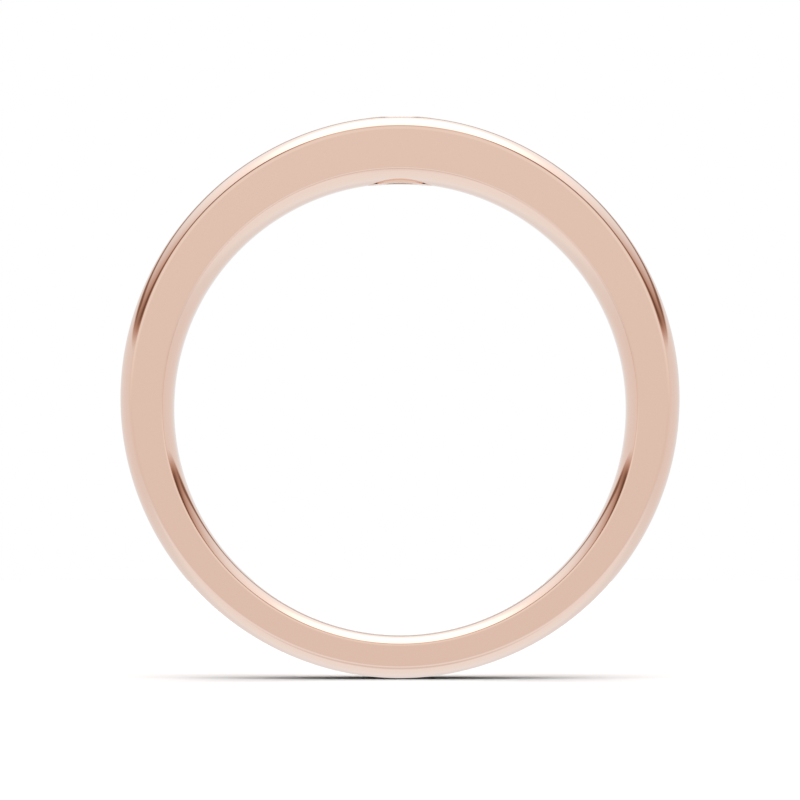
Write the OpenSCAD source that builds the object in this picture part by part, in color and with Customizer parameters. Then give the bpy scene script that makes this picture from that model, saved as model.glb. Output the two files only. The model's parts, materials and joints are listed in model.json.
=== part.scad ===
// Wedding band in rose gold with a comfort-fit inside, heavier at the top than at the bottom,
// and one small brilliant held in a tube setting that passes through the top of the band.
//
// Frame: millimetres, origin at the centre of the finger hole. The finger lies along Y,
// +Z points up to the setting, X runs across the ring. The ring does not open or move.

/* [Finger hole] */
// Diameter of the finger hole at the middle of its width
finger_d = 17.3; // [16.5:0.1:18.5]
// Length of the straight cylinder in the middle of the comfort-fit inside
straight_w = 0.9; // [0.4:0.1:1]
// Radius of the rounding that opens the inside towards each side face
comfort_r = 3.8; // [3.7:0.1:6]

/* [Band] */
// Thickness of the band at the top, at the middle of its width
top_t = 2.55; // [2.5:0.01:3]
// Thickness of the band at the bottom, at the middle of its width
bottom_t = 1.63; // [1.5:0.01:1.9]
// Width of the band at the top, along the finger
top_w = 4.8; // [4.4:0.1:5.2]
// Width of the band at the bottom, along the finger
bottom_w = 3.7; // [3.4:0.1:4.2]
// Radius of the dome across the outside
dome_r = 5.7; // [5:0.1:9]

/* [Setting] */
// Outside diameter of the tube setting
tube_d = 2.45; // [2.4:0.05:2.6]
// Diameter of the open hole under the stone
azure_d = 1.3; // [1.1:0.05:1.4]
// How far the outer end of the tube stands above the dome
tube_stand = 0.01; // [0.01:0.01:0.05]
// How far the burnished rim closes in over the stone
lip = 0.06; // [0.04:0.01:0.08]

/* [Stone] */
// Diameter of the round brilliant
stone_d = 1.8; // [1.7:0.05:1.9]
// Table width as a share of the stone's diameter
table_share = 0.57; // [0.53:0.01:0.6]
// Angle of the crown's kite facets, in degrees
crown_a = 34.5; // [33:0.5:35.5]
// Angle of the pavilion's main facets, in degrees
pavilion_a = 40.75; // [40.5:0.25:41.25]
// Height of the girdle
girdle_t = 0.05; // [0.04:0.01:0.07]
// How far the stone's table lies below the crest of the band
table_drop = 0.02; // [0.01:0.01:0.06]

/* [Hidden] */
$fn = 128;

finger_r = finger_d / 2;
straight_h = straight_w / 2;

// The outside is a circle set off-centre upwards, which makes the top thicker than the bottom.
outer_r = finger_r + (top_t + bottom_t) / 2;
outer_lift = (top_t - bottom_t) / 2;
crest_z = outer_r + outer_lift;
foot_z = outer_lift - outer_r;

// The side faces are planes that lean outwards towards the top.
lean_a = atan((top_w - bottom_w) / 2 / (crest_z - foot_z));
mid_w = bottom_w + (top_w - bottom_w) * (0 - foot_z) / (crest_z - foot_z);

block_w = 4 * outer_r;        // size of a block that is larger than the ring
profile_w = top_w + 1;        // width over which the revolved outlines are drawn
arc_steps = 24;               // straight steps in each half of a revolved outline

// Facet angles of a standard round brilliant, in degrees.
star_a = 22;                  // star facets, round the table
upper_girdle_a = 42;          // upper girdle facets
lower_girdle_a = 42.3;        // lower girdle facets
facet_sides = 8;              // every ring of facets repeats eight times
half_step_a = 180 / facet_sides;
quarter_step_a = half_step_a / 2;

stone_r = stone_d / 2;
table_r = stone_r * table_share;
crown_h = (stone_r - table_r) * tan(crown_a);
pavilion_h = stone_r * tan(pavilion_a);
table_z = crest_z - table_drop;
girdle_top_z = table_z - crown_h;
girdle_foot_z = girdle_top_z - girdle_t;

tube_r = tube_d / 2;
azure_r = azure_d / 2;
seat_a = 42.5;                // slope of the seat, a little steeper than the pavilion
seat_gap = 0.005;             // clearance of the seat under the pavilion
lip_gap = 0.01;               // clearance of the rim over the crown
rim_bevel_a = 50;             // slope of the bright cut inside the rim
rim_wall = 0.05;              // flat end left outside the bright cut
over = 1;                     // how far a cutting shape runs past what it cuts
point_apothem = 0.001;        // half width of a facet pyramid's tip
reach = 2 * stone_d;          // how far a facet pyramid runs past the girdle

// Height of an arc of radius r above its middle, at a distance d from the middle.
function arc_rise(r, d) = r - sqrt(r * r - d * d);

// Distance of the inside wall from the finger's axis, at a place y along the finger.
function inside_r(y) = finger_r + arc_rise(comfort_r, max(0, abs(y) - straight_h));

// Distance of the outside wall from its own centre, at a place y along the finger.
function outside_r(y) = outer_r - arc_rise(dome_r, abs(y));

// Turns a shape drawn round the Z axis so that it lies round the Y axis.
module along_finger() rotate([90, 0, 0]) children();

// Solid of revolution under the domed outside, grown by a margin.
module outside_body(margin = 0) {
    ys = [for (i = [-arc_steps : arc_steps]) i / arc_steps * profile_w / 2];
    translate([0, 0, outer_lift]) along_finger() rotate_extrude()
        polygon(concat([[0, ys[0]]], [for (y = ys) [outside_r(y) + margin, y]],
                       [[0, ys[2 * arc_steps]]]));
}

// Solid of revolution that fills the comfort-fit finger hole.
module inside_body() {
    half_w = profile_w / 2;
    curve = [for (i = [1 : arc_steps]) straight_h + i / arc_steps * (half_w - straight_h)];
    far = [for (y = curve) [inside_r(y), y]];
    near = [for (i = [arc_steps - 1 : -1 : 0]) [inside_r(curve[i]), -curve[i]]];
    along_finger() rotate_extrude()
        polygon(concat([[0, -half_w]], near, [[finger_r, -straight_h], [finger_r, straight_h]],
                       far, [[0, half_w]]));
}

// Block that takes away everything beyond one side face; side is -1 or 1 along Y.
module beyond_side(side) {
    translate([0, side * mid_w / 2, 0]) rotate([-side * lean_a, 0, 0])
        translate([-block_w / 2, side > 0 ? 0 : -block_w, -block_w / 2]) cube(block_w);
}

// The band: domed outside, comfort-fit inside, flat sides, and a hole for the tube setting.
module band() {
    color([0.87, 0.66, 0.57]) difference() {
        outside_body();
        inside_body();
        for (side = [-1, 1]) beyond_side(side);
        cylinder(r = tube_r, h = crest_z + over);
    }
}

// The tube setting: an open tube with a seat for the stone and a rim burnished over it.
// Its outer end follows the dome and its inner end is cut to the finger size.
module tube_setting() {
    seat_z = girdle_foot_z - seat_gap - (stone_r - azure_r) * tan(seat_a);
    lip_r = stone_r - lip;
    lip_z = girdle_top_z + lip_gap + lip * tan(upper_girdle_a);
    rim_z = crest_z + over;
    bevel_r = min(tube_r - rim_wall, lip_r + (crest_z - lip_z) / tan(rim_bevel_a));
    color([0.89, 0.68, 0.58]) intersection() {
        difference() {
            rotate_extrude() polygon([
                [azure_r, finger_r - over],
                [tube_r, finger_r - over],
                [tube_r, rim_z],
                [bevel_r, rim_z],
                [bevel_r, lip_z + (bevel_r - lip_r) * tan(rim_bevel_a)],
                [lip_r, lip_z],
                [stone_r, girdle_top_z + lip_gap],
                [stone_r, girdle_foot_z - seat_gap],
                [azure_r, seat_z]
            ]);
            along_finger() cylinder(r = finger_r, h = top_w, center = true);
        }
        outside_body(tube_stand);
    }
}

// Eight-sided pyramid whose faces slope by angle a and pass at a distance apothem from the
// stone's axis at height z. It narrows upwards for the crown and downwards for the pavilion.
module facet_ring(turn_a, apothem, z, a, up) {
    tip = up ? crown_h + girdle_t : pavilion_h + girdle_t;
    wide = (apothem + reach / tan(a)) / cos(half_step_a);
    narrow = max(point_apothem, apothem - tip / tan(a)) / cos(half_step_a);
    rotate([0, 0, turn_a + half_step_a]) translate([0, 0, z]) mirror([0, 0, up ? 0 : 1])
        translate([0, 0, -reach])
            cylinder(r1 = wide, r2 = narrow, h = reach + (apothem - narrow * cos(half_step_a)) * tan(a),
                     $fn = facet_sides);
}

// The stone: a round brilliant with its table, star, kite and girdle facets above the girdle,
// and its main and lower girdle facets below.
module stone() {
    girdle_apothem = stone_r * cos(quarter_step_a);
    color([0.93, 0.96, 0.98, 0.6]) intersection() {
        translate([0, 0, girdle_foot_z - pavilion_h])
            cylinder(r = stone_r, h = pavilion_h + girdle_t + crown_h);
        facet_ring(0, stone_r, girdle_top_z, crown_a, true);
        facet_ring(half_step_a, table_r * cos(half_step_a), table_z, star_a, true);
        intersection_for (side = [-1, 1])
            facet_ring(side * quarter_step_a, girdle_apothem, girdle_top_z, upper_girdle_a, true);
        facet_ring(0, stone_r, girdle_foot_z, pavilion_a, false);
        intersection_for (side = [-1, 1])
            facet_ring(side * quarter_step_a, girdle_apothem, girdle_foot_z, lower_girdle_a, false);
    }
}

band();
tube_setting();
stone();
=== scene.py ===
"""Wedding band in polished rose gold, standing on a white studio floor, seen through the finger hole."""

import json
import math

import bmesh
import bpy
import numpy as np
from mathutils import Matrix, Vector
from mathutils.kdtree import KDTree


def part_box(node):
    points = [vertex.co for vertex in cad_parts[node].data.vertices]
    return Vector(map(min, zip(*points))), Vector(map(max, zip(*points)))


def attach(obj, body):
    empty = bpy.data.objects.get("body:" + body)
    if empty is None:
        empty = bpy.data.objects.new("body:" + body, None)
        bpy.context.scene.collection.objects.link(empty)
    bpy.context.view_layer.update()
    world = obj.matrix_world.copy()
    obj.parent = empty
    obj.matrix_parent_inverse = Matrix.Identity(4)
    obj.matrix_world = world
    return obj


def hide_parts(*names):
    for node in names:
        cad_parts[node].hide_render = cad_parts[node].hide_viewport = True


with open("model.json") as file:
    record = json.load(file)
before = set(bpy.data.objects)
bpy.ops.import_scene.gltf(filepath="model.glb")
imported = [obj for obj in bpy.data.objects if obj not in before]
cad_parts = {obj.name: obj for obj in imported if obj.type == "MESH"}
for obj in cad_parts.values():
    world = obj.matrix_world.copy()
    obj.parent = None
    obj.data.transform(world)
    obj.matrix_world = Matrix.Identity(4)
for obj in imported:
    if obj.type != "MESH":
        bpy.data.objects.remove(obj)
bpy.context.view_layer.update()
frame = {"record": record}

MM = 0.001

# ---------------------------------------------------------------- sizes, in millimetres
# Places that the frame gives.
MOUNTS = {m["name"]: m for m in frame["record"]["mounts"]}
FINGER_R = MOUNTS["finger_bore"]["dims"]["r_mm"]
FACE_MID_H = abs(MOUNTS["side_face_back"]["pos_m"][1]) / MM
FACE_LEAN = -MOUNTS["side_face_back"]["axis"][2] / MOUNTS["side_face_back"]["axis"][1]
STONE_LO, STONE_HI = (np.array(corner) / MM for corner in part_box("stone"))
TUBE_LO, TUBE_HI = (np.array(corner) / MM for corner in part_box("tube_setting"))
FOOT_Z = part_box("band")[0][2] / MM
TABLE_DROP = 0.02          # how far the stone's table lies below the crest
TABLE_Z = STONE_HI[2]
CREST_Z = TABLE_Z + TABLE_DROP

# The outline seen through the finger hole: a circle set off-centre upwards, which swells at the top.
OUTER_LIFT = 0.41
OUTER_R = OUTER_LIFT - FOOT_Z
SWELL = CREST_Z - OUTER_LIFT - OUTER_R
SWELL_POWER = 6
DOME_DROP = 0.44           # how far the outside dome falls from its crest to the side face
DOME_POWER = 2.5           # makes the dome flatter in the middle and rounder towards the side faces
COMFORT_R = 3.8            # rounding that opens the inside towards each side face
STRAIGHT_H = 0.45          # half of the inside's straight part
OUTER_FILLET = 0.17        # rounding of the side faces' outer and inner edges
INNER_FILLET = 0.1

# The stone: a round brilliant.
STONE_R = (STONE_HI[0] - STONE_LO[0]) / 2
TABLE_SHARE = 0.57         # of the stone's width
TABLE_R = TABLE_SHARE * STONE_R
CROWN_A, STAR_A, UPPER_A = (math.radians(a) for a in (34.5, 22, 42))
PAVILION_A, LOWER_A = (math.radians(a) for a in (40.75, 42.3))
CROWN_H = (STONE_R - TABLE_R) * math.tan(CROWN_A)
PAVILION_H = STONE_R * math.tan(PAVILION_A)
GIRDLE_TOP = TABLE_Z - CROWN_H
GIRDLE_FOOT = STONE_LO[2] + PAVILION_H
STONE_SPARE = 0.1          # how far the uncut stone runs past its lower tip

# The tube setting.
TUBE_R = (TUBE_HI[0] - TUBE_LO[0]) / 2
AZURE_R = 0.65             # open hole under the stone
TUBE_STAND = 0.01          # how far its outer end stands above the dome
TUBE_PROUD = 0.02          # how far its inner end shows inside the finger hole
RIM_WALL = 0.05            # flat end left outside the bright cut
LIP = 0.06                 # how far the rim closes in over the stone
LIP_GAP = 0.01
SEAT_GAP = 0.005
SEAT_A = math.radians(42.5)
BEVEL_A = math.radians(50)
TUBE_EDGE = 0.02           # rounding of its sharp edges
TUBE_EDGE_A = math.radians(20)  # edges that turn by more than this are rounded
DRILL_SPARE = 1.0          # how far the drill runs past the crest

# Steps of the meshes.
AROUND = 720               # round the band
DOME_STEPS = 20            # from the middle of the width to a side face
FILLET_STEPS = 8
FACE_STEPS = 6
TUBE_STEPS = 128
TUBE_EDGE_STEPS = 3
GIRDLE_STEPS = 96
# Rounds in which a place that depends on itself settles.
EDGE_ROUNDS = 4            # the inside's edge on a side face
HEIGHT_ROUNDS = 12         # the outside's height near the top

# Looks. Roughness runs from 0, a mirror, to 1.
ROSE_GOLD = (0.90, 0.663, 0.548)
BAND_ROUGHNESS = 0.05
SETTING_ROUGHNESS = 0.06
DULLER = 1.6               # how many times rougher the dullest places are
GLOSS_SCALE = (0.6, 0.6, 0.6)  # changes of gloss in a millimetre
GLOSS_RANGE = (0.3, 0.7)   # noise values that give the glossiest and the dullest places
BUFFING_SCALE = (30, 2, 30)    # marks that polishing leaves, in a millimetre: they run along the finger
BUFFING_DETAIL = 4
BUFFING_FINENESS = 0.6
BUFFING_DEPTH = 0.002      # in millimetres
BUFFING_STRENGTH = 0.03
DIAMOND_COLOUR = (0.99, 0.995, 1.0)
DIAMOND_IOR = 2.417
DIAMOND_ROUGHNESS = 0.01   # of its dullest places; the glossiest are mirrors
DIAMOND_SCALE = (60, 60, 60)   # changes of its gloss in a millimetre
DIAMOND_RANGE = (0.35, 0.65)


# ---------------------------------------------------------------- outline of the band
def outer_crest(phi):
    """Distance of the outside crest from the finger's axis, at an angle phi round it."""
    s, c = math.sin(phi), math.cos(phi)
    circle = OUTER_LIFT * s + math.sqrt(OUTER_R**2 - (OUTER_LIFT * c) ** 2)
    return circle + SWELL * max(0.0, s) ** SWELL_POWER


def half_width(z):
    """Half of the band's width at a height z: the side faces lean outwards towards the top."""
    return FACE_MID_H + FACE_LEAN * z


def dome_drop(y, half):
    """How far the outside lies below its crest, at a place y across a band of half width half."""
    return DOME_DROP * abs(y / half) ** DOME_POWER


def dome_slope(y, half):
    return -DOME_POWER * DOME_DROP / half * (y / half) ** (DOME_POWER - 1)


def comfort_rise(y):
    """How far the inside has opened beyond the finger hole, at a place y across the band."""
    d = max(0.0, abs(y) - STRAIGHT_H)
    return COMFORT_R - math.sqrt(COMFORT_R**2 - d * d)


def comfort_slope(y):
    d = max(0.0, abs(y) - STRAIGHT_H)
    return math.copysign(d / math.sqrt(COMFORT_R**2 - d * d), y)


def fillet(corner, into, out, radius, steps):
    """Points and tangents of an arc that rounds a corner between the directions into and out of it."""
    into, out = into / np.linalg.norm(into), out / np.linalg.norm(out)
    turn = math.acos(float(np.clip(into @ out, -1, 1)))
    cut = radius * math.tan(turn / 2)
    start = corner - into * cut
    side = out - into * float(into @ out)
    side /= np.linalg.norm(side)
    found = []
    for i in range(steps + 1):
        a = turn * i / steps
        point = start + radius * (math.sin(a) * into + (1 - math.cos(a)) * side)
        found.append((point, math.cos(a) * into + math.sin(a) * side))
    return found


def side_profile(phi):
    """Half of the closed outline at phi, on the +Y side: (distance from the axis, y) and its tangent."""
    s = math.sin(phi)
    crest = outer_crest(phi)
    corner_r = crest - DOME_DROP
    half = half_width(corner_r * s)
    inner_half = half
    for _ in range(EDGE_ROUNDS):
        inner_half = half_width((FINGER_R + comfort_rise(inner_half)) * s)
    inner_r = FINGER_R + comfort_rise(inner_half)
    down_face = np.array([-1.0, -FACE_LEAN * s])
    over_edge = np.array([dome_slope(half, half), 1.0])
    under_edge = np.array([-comfort_slope(inner_half), -1.0])
    outer_arc = fillet(np.array([corner_r, half]), over_edge, down_face, OUTER_FILLET, FILLET_STEPS)
    inner_arc = fillet(np.array([inner_r, inner_half]), down_face, under_edge, INNER_FILLET, FILLET_STEPS)
    points = []
    last_y = outer_arc[0][0][1]
    for i in range(DOME_STEPS):
        y = last_y * i / DOME_STEPS
        points.append((np.array([crest - dome_drop(y, half), y]), np.array([dome_slope(y, half), 1.0])))
    points += outer_arc
    a, b = outer_arc[-1][0], inner_arc[0][0]
    points += [(a + (b - a) * i / FACE_STEPS, down_face) for i in range(1, FACE_STEPS)]
    points += inner_arc
    first_y = inner_arc[-1][0][1]
    for i in range(1, DOME_STEPS + 1):
        y = first_y * (1 - i / DOME_STEPS)
        points.append((np.array([FINGER_R + comfort_rise(y), y]), np.array([-comfort_slope(y), -1.0])))
    return points


def full_profile(phi):
    """The whole closed outline at phi, with unit tangents."""
    right = side_profile(phi)
    left = [(p * (1, -1), t * (-1, 1)) for p, t in reversed(right[1:-1])]
    return [(p, t / np.linalg.norm(t)) for p, t in right + left]


def band_surface():
    """The band's points and normals, as arrays of (angle, place on the outline, xyz)."""
    points, tangents = [], []
    for k in range(AROUND):
        phi = 2 * math.pi * k / AROUND
        radial = np.array([math.cos(phi), 0.0, math.sin(phi)])
        along = np.array([0.0, 1.0, 0.0])
        outline = full_profile(phi)
        points.append([p[0] * radial + p[1] * along for p, _ in outline])
        tangents.append([t[0] * radial + t[1] * along for _, t in outline])
    points, tangents = np.array(points), np.array(tangents)
    around = np.roll(points, -1, axis=0) - np.roll(points, 1, axis=0)
    normals = np.cross(around, tangents)
    normals /= np.linalg.norm(normals, axis=2, keepdims=True)
    return points, normals


# ---------------------------------------------------------------- mesh helpers
NEAREST = 4                # surface points that a vertex's normal is drawn from
TINY = 1e-9                # metres
WALL_REACH = 0.02          # how near the drilled radius a face of the hole's wall lies, as a share of it
WALL_FACING = 0.9          # how squarely such a face looks at the hole's axis, 1 being straight


def new_object(name, verts, faces, smooth=True):
    mesh = bpy.data.meshes.new(name)
    mesh.from_pydata([tuple(v) for v in verts], [], faces)
    mesh.polygons.foreach_set("use_smooth", [smooth] * len(mesh.polygons))
    obj = bpy.data.objects.new(name, mesh)
    bpy.context.scene.collection.objects.link(obj)
    return obj


def grid_faces(rows, columns):
    """Quads of a grid that closes on itself both ways."""
    return [
        (
            i * columns + j,
            i * columns + (j + 1) % columns,
            (i + 1) % rows * columns + (j + 1) % columns,
            (i + 1) % rows * columns + j,
        )
        for i in range(rows)
        for j in range(columns)
    ]


def face_outwards(obj):
    """Turns every face of a closed mesh outwards."""
    bm = bmesh.new()
    bm.from_mesh(obj.data)
    bmesh.ops.recalc_face_normals(bm, faces=bm.faces)
    bm.to_mesh(obj.data)
    bm.free()


def drill(obj, radius, top):
    """Cuts an upright round hole through the top of the band."""
    bm = bmesh.new()
    turned = Matrix.Translation((0, 0, top / 2)) @ Matrix.Rotation(math.pi / TUBE_STEPS, 4, "Z")
    bmesh.ops.create_cone(
        bm, cap_ends=True, segments=TUBE_STEPS, radius1=radius, radius2=radius, depth=top, matrix=turned
    )
    mesh = bpy.data.meshes.new("drill")
    bm.to_mesh(mesh)
    bm.free()
    cutter = bpy.data.objects.new("drill", mesh)
    bpy.context.scene.collection.objects.link(cutter)
    cut = obj.modifiers.new("hole", "BOOLEAN")
    cut.operation, cut.solver, cut.object = "DIFFERENCE", "EXACT", cutter
    graph = bpy.context.evaluated_depsgraph_get()
    cut_mesh = bpy.data.meshes.new_from_object(obj.evaluated_get(graph))
    obj.modifiers.clear()
    old, obj.data = obj.data, cut_mesh
    bpy.data.meshes.remove(old)
    bpy.data.objects.remove(cutter)
    bpy.data.meshes.remove(mesh)


def set_true_normals(obj, points, normals, hole_r):
    """Gives the drilled band the exact normals of its surface, and of the wall of its hole.

    A vertex takes the normals of the nearest surface points, the nearer the more.
    """
    tree = KDTree(len(points))
    for i, p in enumerate(points):
        tree.insert(p, i)
    tree.balance()
    near = {}
    for v in obj.data.vertices:
        found = tree.find_n(v.co, NEAREST)
        weights = [1 / max(d, TINY) ** 2 for _, _, d in found]
        total = sum((Vector(normals[i]) * w for (_, i, _), w in zip(found, weights)), Vector())
        near[v.index] = total.normalized()
    custom = [None] * len(obj.data.loops)
    for polygon in obj.data.polygons:
        flat = Vector((polygon.center.x, polygon.center.y, 0))
        in_hole = (
            polygon.center.z > 0
            and abs(flat.length - hole_r) < WALL_REACH * hole_r
            and polygon.normal.dot(flat.normalized()) < -WALL_FACING
        )
        for i in polygon.loop_indices:
            v = obj.data.loops[i].vertex_index
            custom[i] = -Vector((*obj.data.vertices[v].co.xy, 0)).normalized() if in_hole else near[v]
    obj.data.normals_split_custom_set(custom)


# ---------------------------------------------------------------- pieces
def make_band():
    points, normals = band_surface()
    rows, columns = points.shape[:2]
    flat_points, flat_normals = points.reshape(-1, 3) * MM, normals.reshape(-1, 3)
    obj = new_object("polished_band", flat_points, grid_faces(rows, columns))
    face_outwards(obj)
    if flat_normals[0] @ flat_points[0] < 0:
        flat_normals = -flat_normals
    drill(obj, TUBE_R * MM, (CREST_Z + DRILL_SPARE) * MM)
    set_true_normals(obj, flat_points, flat_normals, TUBE_R * MM)
    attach(obj, "root")
    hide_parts("band")
    return obj


def outer_height(x, y):
    """Height of the band's outside at a place near its top."""
    z = CREST_Z
    for _ in range(HEIGHT_ROUNDS):
        reach = outer_crest(math.atan2(z, x))
        half = half_width((reach - DOME_DROP) * z / reach)
        z = math.sqrt((reach - dome_drop(y, half)) ** 2 - x * x)
    return z


def make_tube():
    seat_z = GIRDLE_FOOT - SEAT_GAP - (STONE_R - AZURE_R) * math.tan(SEAT_A)
    lip_r = STONE_R - LIP
    lip_z = GIRDLE_TOP + LIP_GAP + LIP * math.tan(UPPER_A)
    verts = []
    for k in range(TUBE_STEPS):
        psi = 2 * math.pi * (k + 0.5) / TUBE_STEPS
        c, s = math.cos(psi), math.sin(psi)

        def low(r):
            return math.sqrt(FINGER_R**2 - (r * c) ** 2) - TUBE_PROUD

        def high(r):
            return outer_height(r * c, r * s) + TUBE_STAND

        bevel_r = min(TUBE_R - RIM_WALL, lip_r + (high(lip_r) - lip_z) / math.tan(BEVEL_A))
        outline = [
            (AZURE_R, low(AZURE_R)),
            (TUBE_R, low(TUBE_R)),
            (TUBE_R, high(TUBE_R)),
            (bevel_r, high(bevel_r)),
            (lip_r, lip_z),
            (STONE_R, GIRDLE_TOP + LIP_GAP),
            (STONE_R, GIRDLE_FOOT - SEAT_GAP),
            (AZURE_R, seat_z),
        ]
        verts += [(r * c * MM, r * s * MM, z * MM) for r, z in outline]
    obj = new_object("tube_collet", verts, grid_faces(TUBE_STEPS, len(outline)))
    face_outwards(obj)
    rounding = obj.modifiers.new("rounding", "BEVEL")
    rounding.width, rounding.segments = TUBE_EDGE * MM, TUBE_EDGE_STEPS
    rounding.limit_method, rounding.angle_limit = "ANGLE", TUBE_EDGE_A
    rounding.harden_normals = True
    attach(obj, "root")
    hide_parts("tube_setting")
    return obj


def cut_facets(bm, first, apothem, z, slope, up):
    """Cuts a ring of eight facets that slope away from the stone's axis."""
    for k in range(8):
        a = first + k * math.pi / 4
        outward = Vector((math.cos(a), math.sin(a), 0))
        normal = outward * math.sin(slope) + Vector((0, 0, math.cos(slope) * (1 if up else -1)))
        point = (outward * apothem + Vector((0, 0, z))) * MM
        geometry = bm.verts[:] + bm.edges[:] + bm.faces[:]
        cut = bmesh.ops.bisect_plane(
            bm, geom=geometry, plane_co=point, plane_no=normal, clear_outer=True, dist=TINY
        )
        edges = [e for e in cut["geom_cut"] if isinstance(e, bmesh.types.BMEdge)]
        if edges:
            bmesh.ops.holes_fill(bm, edges=edges, sides=0)


def make_stone():
    low, high = STONE_LO[2] - STONE_SPARE, TABLE_Z
    half, quarter = math.pi / 8, math.pi / 16
    bm = bmesh.new()
    bmesh.ops.create_cone(
        bm,
        cap_ends=True,
        segments=GIRDLE_STEPS,
        radius1=STONE_R * MM,
        radius2=STONE_R * MM,
        depth=(high - low) * MM,
    )
    bmesh.ops.translate(bm, vec=(0, 0, (high + low) / 2 * MM), verts=bm.verts)
    girdle_apothem = STONE_R * math.cos(quarter)
    cut_facets(bm, 0, STONE_R, GIRDLE_TOP, CROWN_A, True)
    cut_facets(bm, half, TABLE_R * math.cos(half), TABLE_Z, STAR_A, True)
    cut_facets(bm, 0, STONE_R, GIRDLE_FOOT, PAVILION_A, False)
    for side in (-quarter, quarter):
        cut_facets(bm, side, girdle_apothem, GIRDLE_TOP, UPPER_A, True)
        cut_facets(bm, side, girdle_apothem, GIRDLE_FOOT, LOWER_A, False)
    mesh = bpy.data.meshes.new("brilliant")
    bm.to_mesh(mesh)
    bm.free()
    obj = bpy.data.objects.new("brilliant", mesh)
    bpy.context.scene.collection.objects.link(obj)
    face_outwards(obj)
    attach(obj, "root")
    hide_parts("stone")
    return obj


# ---------------------------------------------------------------- materials
def new_material(name):
    material = bpy.data.materials.new(name)
    material.use_nodes = True
    return material, material.node_tree, material.node_tree.nodes["Principled BSDF"]


def scaled_coordinates(tree, scale):
    """Object coordinates in millimetres, stretched by scale."""
    place = tree.nodes.new("ShaderNodeTexCoord")
    mapping = tree.nodes.new("ShaderNodeMapping")
    mapping.inputs["Scale"].default_value = [s / MM for s in scale]
    tree.links.new(place.outputs["Object"], mapping.inputs["Vector"])
    return mapping.outputs["Vector"]


def noise(tree, scale, detail=3.0, roughness=0.5):
    node = tree.nodes.new("ShaderNodeTexNoise")
    node.inputs["Scale"].default_value = 1.0
    node.inputs["Detail"].default_value = detail
    node.inputs["Roughness"].default_value = roughness
    tree.links.new(scaled_coordinates(tree, scale), node.inputs["Vector"])
    return node.outputs["Fac"]


def map_range(tree, value, before, after, smooth=False):
    """Carries the range before over to the range after, along a line or a smooth step."""
    node = tree.nodes.new("ShaderNodeMapRange")
    node.interpolation_type = "SMOOTHSTEP" if smooth else "LINEAR"
    for name, number in zip(("From Min", "From Max", "To Min", "To Max"), (*before, *after)):
        node.inputs[name].default_value = number
    tree.links.new(value, node.inputs["Value"])
    return node.outputs["Result"]


def rose_gold(name, rough):
    """Polished rose gold, with faint buffing marks and a slow change of gloss."""
    material, tree, shader = new_material(name)
    shader.inputs["Metallic"].default_value = 1.0
    shader.inputs["Base Color"].default_value = (*ROSE_GOLD, 1.0)
    gloss = map_range(tree, noise(tree, GLOSS_SCALE), GLOSS_RANGE, (rough, rough * DULLER))
    tree.links.new(gloss, shader.inputs["Roughness"])
    marks = noise(tree, BUFFING_SCALE, BUFFING_DETAIL, BUFFING_FINENESS)
    bump = tree.nodes.new("ShaderNodeBump")
    bump.inputs["Strength"].default_value = BUFFING_STRENGTH
    bump.inputs["Distance"].default_value = BUFFING_DEPTH * MM
    tree.links.new(marks, bump.inputs["Height"])
    tree.links.new(bump.outputs["Normal"], shader.inputs["Normal"])
    return material


def diamond():
    """Clear stone with polished facets, very slightly uneven in gloss."""
    material, tree, shader = new_material("diamond")
    shader.inputs["Base Color"].default_value = (*DIAMOND_COLOUR, 1.0)
    shader.inputs["Transmission Weight"].default_value = 1.0
    shader.inputs["IOR"].default_value = DIAMOND_IOR
    grain = map_range(tree, noise(tree, DIAMOND_SCALE), DIAMOND_RANGE, (0.0, DIAMOND_ROUGHNESS))
    tree.links.new(grain, shader.inputs["Roughness"])
    return material


def floor_material():
    material, _, shader = new_material("studio_floor")
    shader.inputs["Roughness"].default_value = 1.0
    shader.inputs["Specular IOR Level"].default_value = 0.0
    shader.inputs["Base Color"].default_value = (FLOOR_ALBEDO, FLOOR_ALBEDO, FLOOR_ALBEDO, 1.0)
    return material


# ---------------------------------------------------------------- studio, sizes in millimetres
LAMP_SIZE = 1000.0
LAMP_HEIGHT = 400.0
LAMP_POWER = 3.0           # in watts
FLOOR_ALBEDO = 0.9
FLOOR_R = 160.0
FLOOR_SIDES = 96
CAMERA_DISTANCE = 300.0    # from the finger's axis
CAMERA_Z = 0.353           # above the finger's axis
CLIP_START = 0.01          # in metres
SENSOR = 36.0
FIELD = 30.61              # width that the picture takes in at the middle of the band

# The room that the metal reflects. A direction is told by its side, back and height: its shares across,
# away from the camera and upwards. Its climb is its height over its side.
OVERHEAD_AIM = (0.0, 0.725, 0.689)
# Brightness of the light above and behind, by how near a direction is to its aim, 1 being straight at it.
OVERHEAD = (
    (0.69, 0.30), (0.72, 0.42), (0.75, 0.52), (0.80, 0.70), (0.85, 0.88), (0.92, 1.08), (0.96, 1.60)
)
# Brightness of the wall in front of the ring, and of the ground, by height, 0 being down and 1 up.
FRONT = ((0.40, 0.77), (0.46, 0.78), (0.478, 0.80), (0.493, 0.83), (0.55, 0.90))
GROUND = (
    (0.0, 0.76), (0.03, 0.78), (0.1, 0.96), (0.24, 0.94), (0.31, 0.84), (0.38, 0.80), (0.5, 0.80)
)
DARK_LEVEL = 0.10          # brightness of the dark parts
CEILING_LEVEL = 0.9        # brightness of the ceiling straight above and in front
LINE_SHARE = 0.85          # strength of the dark line over the far horizon
MIDDLE_SHARE = 0.5         # strength of the dark zone in the middle, above the ring
STEEPEST = 0.8             # climb past which the dark zone starts no further forward
STEEP_PULL = 0.25          # how much further forward it starts for each unit of climb
FLATTEST_SIDE = 0.05       # least side that a climb is worked out from
WARM = (1.35, 0.7, 0.45)   # tint of the darkest parts
COOL = (0.97, 1.02, 1.055)  # tint of the ground well below the horizon

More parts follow.
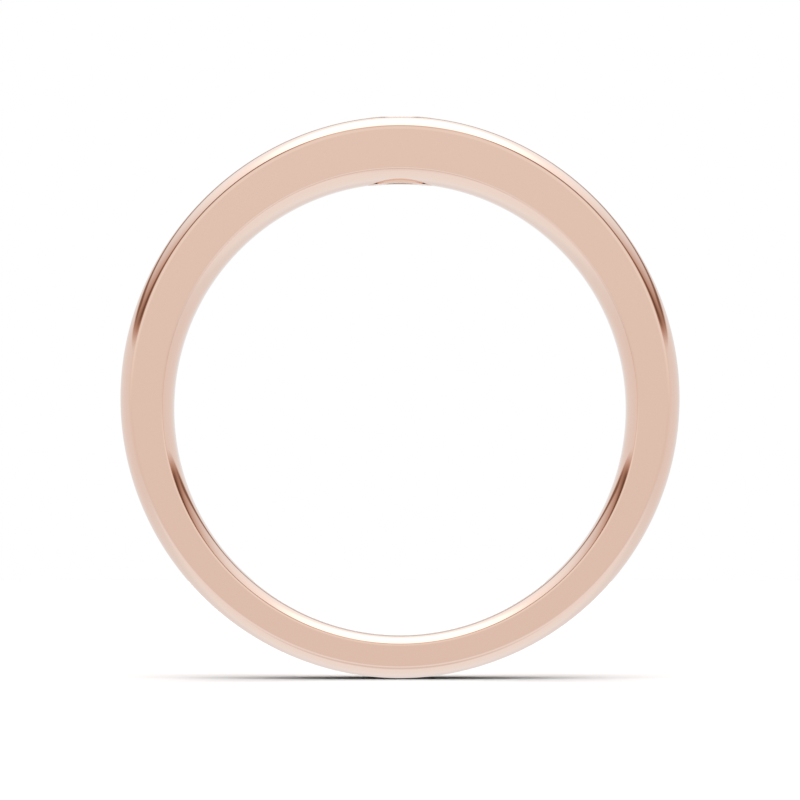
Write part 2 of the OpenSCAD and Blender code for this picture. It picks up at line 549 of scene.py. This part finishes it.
# Where one part gives way to the next: it starts at the first number and is whole at the second.
MIDDLE_BY_SIDE = (0.35, 0.1)
DARK_BY_DEPTH = (0.85, 0.75)   # depth is back, with what the climb adds to it
DARK_BY_CLIMB_BEHIND = (0.18, 0.34)
DARK_BY_CLIMB_BESIDE = (0.1, 0.9)
BEHIND_BY_BACK = (0.3, 0.6)
CEILING_BY_BACK = (0.28, -0.32)
CEILING_BY_HEIGHT = (0.82, 0.98)
GROUND_BY_CLIMB = (0.3, 0.15)
GROUND_BY_HEIGHT = (0.15, 0.12)
GROUND_IN_FRONT_BY_HEIGHT = (-0.2, -0.45)
FRONT_BY_BACK = (-0.05, -0.35)
LINE_BY_SIDE = (0.6, 0.5)
LINE_BY_HEIGHT = (0.13, 0.16)
LINE_UNDER_HEIGHT = (0.22, 0.185)
LINE_BY_BACK = (0.7, 0.8)
WARM_BY_LEVEL = (0.95, 0.0)
COOL_BY_HEIGHT = (-0.15, -0.45)


def world_math(tree, operation, *values):
    node = tree.nodes.new("ShaderNodeMath")
    node.operation = operation
    for socket, value in zip(node.inputs, values):
        if isinstance(value, bpy.types.NodeSocket):
            tree.links.new(value, socket)
        else:
            socket.default_value = value
    return node.outputs["Value"]


def step(tree, value, edge):
    """A smooth step from 0 to 1 between the edge's two numbers, of which either may be the larger."""
    start, end = edge
    if start < end:
        return map_range(tree, value, (start, end), (0.0, 1.0), smooth=True)
    return map_range(tree, value, (end, start), (1.0, 0.0), smooth=True)


def product(tree, first, *others):
    for other in others:
        first = world_math(tree, "MULTIPLY", first, other)
    return first


def blend(tree, share, first, second):
    """First where share is 0, second where it is 1."""
    extra = world_math(tree, "SUBTRACT", second, first)
    return world_math(tree, "MULTIPLY_ADD", share, extra, first)


def ramp(tree, value, stops):
    """Straight-line steps from one brightness to the next along a value."""
    node = tree.nodes.new("ShaderNodeValToRGB")
    top = max(level for _, level in stops)
    elements = node.color_ramp.elements
    while len(elements) < len(stops):
        elements.new(0.5)
    for element, (place, level) in zip(elements, stops):
        element.position = place
        element.color = (level / top, level / top, level / top, 1.0)
    tree.links.new(value, node.inputs["Fac"])
    return world_math(tree, "MULTIPLY", node.outputs["Color"], top)


def room_brightness(tree, direction, side, back, height):
    """A large light above and behind, a dark zone beside and above it, light walls and light ground."""
    climb = world_math(tree, "DIVIDE", height, world_math(tree, "MAXIMUM", side, FLATTEST_SIDE))
    aim = tree.nodes.new("ShaderNodeVectorMath")
    aim.operation = "DOT_PRODUCT"
    aim.inputs[1].default_value = OVERHEAD_AIM
    tree.links.new(direction, aim.inputs[0])
    level = ramp(tree, aim.outputs["Value"], OVERHEAD)

    # The dark zone, which turns into a light ceiling straight above and in front.
    steepness = world_math(tree, "MINIMUM", climb, STEEPEST)
    depth = world_math(tree, "MULTIPLY_ADD", steepness, STEEP_PULL, back)
    start = blend(
        tree,
        step(tree, back, BEHIND_BY_BACK),
        step(tree, climb, DARK_BY_CLIMB_BESIDE),
        step(tree, climb, DARK_BY_CLIMB_BEHIND),
    )
    middle = world_math(tree, "MULTIPLY_ADD", step(tree, side, MIDDLE_BY_SIDE), MIDDLE_SHARE - 1.0, 1.0)
    zone = product(tree, step(tree, depth, DARK_BY_DEPTH), start, middle)
    lit = world_math(
        tree, "MAXIMUM", step(tree, back, CEILING_BY_BACK), step(tree, height, CEILING_BY_HEIGHT)
    )
    level = blend(tree, zone, level, blend(tree, lit, DARK_LEVEL, CEILING_LEVEL))

    # The ground, and the wall in front of the ring.
    rise = world_math(tree, "MULTIPLY_ADD", height, 0.5, 0.5)
    ground = ramp(tree, rise, GROUND)
    low = world_math(
        tree, "MAXIMUM", step(tree, climb, GROUND_BY_CLIMB), step(tree, height, GROUND_BY_HEIGHT)
    )
    level = blend(tree, low, level, ground)
    wall = blend(tree, step(tree, height, GROUND_IN_FRONT_BY_HEIGHT), ramp(tree, rise, FRONT), ground)
    level = blend(tree, step(tree, back, FRONT_BY_BACK), level, wall)

    # The thin dark line over the far horizon.
    line = product(
        tree,
        step(tree, side, LINE_BY_SIDE),
        step(tree, height, LINE_BY_HEIGHT),
        step(tree, height, LINE_UNDER_HEIGHT),
        step(tree, back, LINE_BY_BACK),
        LINE_SHARE,
    )
    return blend(tree, line, level, DARK_LEVEL)


def make_world():
    """The room that the metal reflects, and plain white wherever the camera looks past the ring."""
    world = bpy.data.worlds.new("studio")
    bpy.context.scene.world = world
    world.use_nodes = True
    tree = world.node_tree
    room = tree.nodes["Background"]
    direction = tree.nodes.new("ShaderNodeTexCoord").outputs["Generated"]
    parts = tree.nodes.new("ShaderNodeSeparateXYZ")
    tree.links.new(direction, parts.inputs[0])
    side = world_math(tree, "ABSOLUTE", parts.outputs["X"])
    back, height = parts.outputs["Y"], parts.outputs["Z"]
    level = room_brightness(tree, direction, side, back, height)

    # The darker it is, the warmer it is.
    warmth = step(tree, level, WARM_BY_LEVEL)
    coolness = step(tree, height, COOL_BY_HEIGHT)
    colour = tree.nodes.new("ShaderNodeCombineXYZ")
    for socket, warm_share, cool_share in zip(colour.inputs, WARM, COOL):
        tint = world_math(tree, "MULTIPLY_ADD", warmth, warm_share - 1.0, 1.0)
        tint = world_math(tree, "MULTIPLY_ADD", coolness, cool_share - 1.0, tint)
        tree.links.new(world_math(tree, "MULTIPLY", level, tint), socket)
    tree.links.new(colour.outputs[0], room.inputs["Color"])

    # The metal throws none of the room's light onto the floor.
    path = tree.nodes.new("ShaderNodeLightPath")
    after_floor = world_math(tree, "MINIMUM", path.outputs["Diffuse Depth"], 1.0)
    thrown = product(tree, after_floor, path.outputs["Is Glossy Ray"])
    tree.links.new(world_math(tree, "SUBTRACT", 1.0, thrown), room.inputs["Strength"])
    white = tree.nodes.new("ShaderNodeBackground")
    white.inputs["Color"].default_value = (1, 1, 1, 1)
    mix = tree.nodes.new("ShaderNodeMixShader")
    tree.links.new(path.outputs["Is Camera Ray"], mix.inputs["Fac"])
    tree.links.new(room.outputs[0], mix.inputs[1])
    tree.links.new(white.outputs[0], mix.inputs[2])
    tree.links.new(mix.outputs[0], tree.nodes["World Output"].inputs["Surface"])


def make_lamp():
    """Soft light straight above, for the floor and the shadow under the ring."""
    data = bpy.data.lights.new("overhead", "AREA")
    data.shape, data.size, data.energy = "DISK", LAMP_SIZE * MM, LAMP_POWER
    obj = bpy.data.objects.new("overhead", data)
    obj.location = (0, 0, LAMP_HEIGHT * MM)
    obj.visible_glossy = False
    obj.visible_camera = False
    bpy.context.scene.collection.objects.link(obj)


def make_floor():
    """White floor under the ring, which the metal doesn't reflect."""
    turns = [2 * math.pi * k / FLOOR_SIDES for k in range(FLOOR_SIDES)]
    rim = [(FLOOR_R * MM * math.cos(a), FLOOR_R * MM * math.sin(a), 0) for a in turns]
    obj = new_object("floor", rim, [tuple(range(FLOOR_SIDES))], smooth=False)
    obj.location.z = FOOT_Z * MM
    obj.data.materials.append(floor_material())
    obj.visible_glossy = False


def make_camera():
    data = bpy.data.cameras.new("camera")
    data.sensor_width = SENSOR
    data.lens = SENSOR * CAMERA_DISTANCE / FIELD
    data.clip_start = CLIP_START
    obj = bpy.data.objects.new("camera", data)
    obj.location = (0, -CAMERA_DISTANCE * MM, CAMERA_Z * MM)
    obj.rotation_euler = (math.pi / 2, 0, 0)
    bpy.context.scene.collection.objects.link(obj)
    bpy.context.scene.camera = obj


# ---------------------------------------------------------------- the scene
bpy.context.scene.view_settings.view_transform = "Standard"

make_camera()
make_world()
make_lamp()
make_floor()
make_band().data.materials.append(rose_gold("rose_gold_polished", BAND_ROUGHNESS))
make_tube().data.materials.append(rose_gold("rose_gold_setting", SETTING_ROUGHNESS))
make_stone().data.materials.append(diamond())
